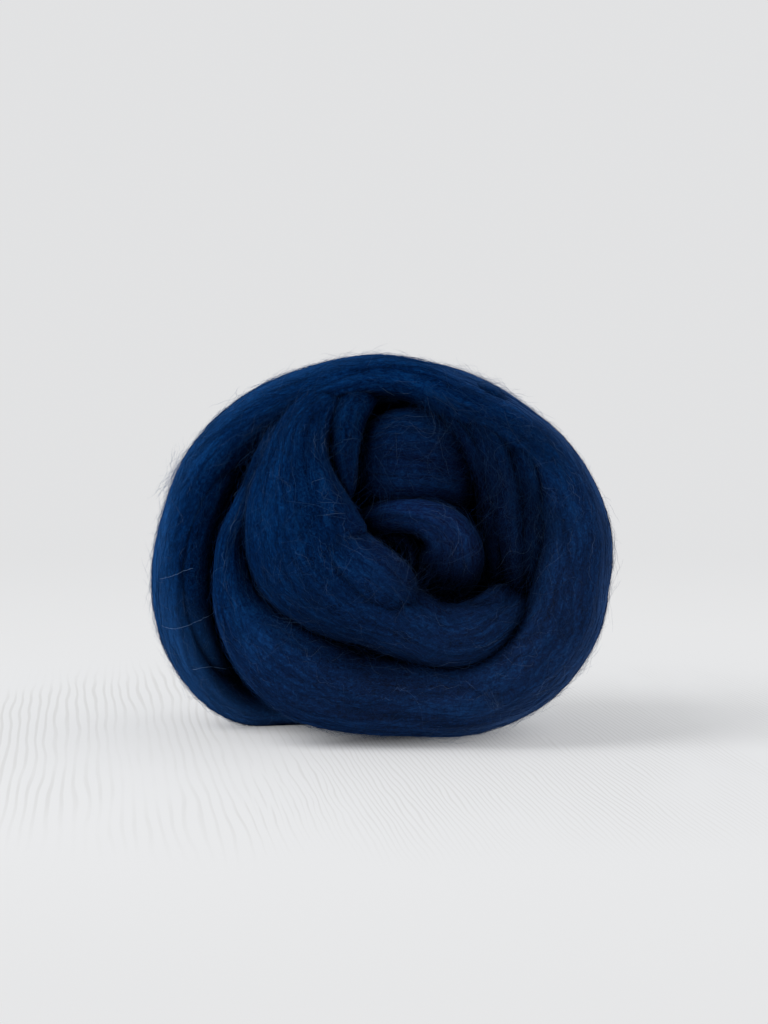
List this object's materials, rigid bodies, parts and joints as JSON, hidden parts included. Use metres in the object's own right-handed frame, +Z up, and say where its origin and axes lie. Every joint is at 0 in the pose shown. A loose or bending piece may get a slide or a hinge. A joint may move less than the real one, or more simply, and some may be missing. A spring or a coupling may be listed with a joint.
{
  "type": "wool roving ball",
  "caption": "Ball of soft navy wool roving: a thick band of combed fibre wound round itself, with the inner folds of the winding open on its front and a small flat spot under it.",
  "frame": {"origin": "middle of the ball's outer box, on the surface that it rests on", "axes": "+Z up, front with the open folds of the winding towards -Y, width along X"},
  "size_m": [0.1251, 0.0965, 0.1025],
  "materials": {
    "wool": "loose combed wool, matt with a faint sheen along the fibres"
  },
  "bodies": {
    "root": {"roving_ball": "wool"}
  },
  "joints": []
}
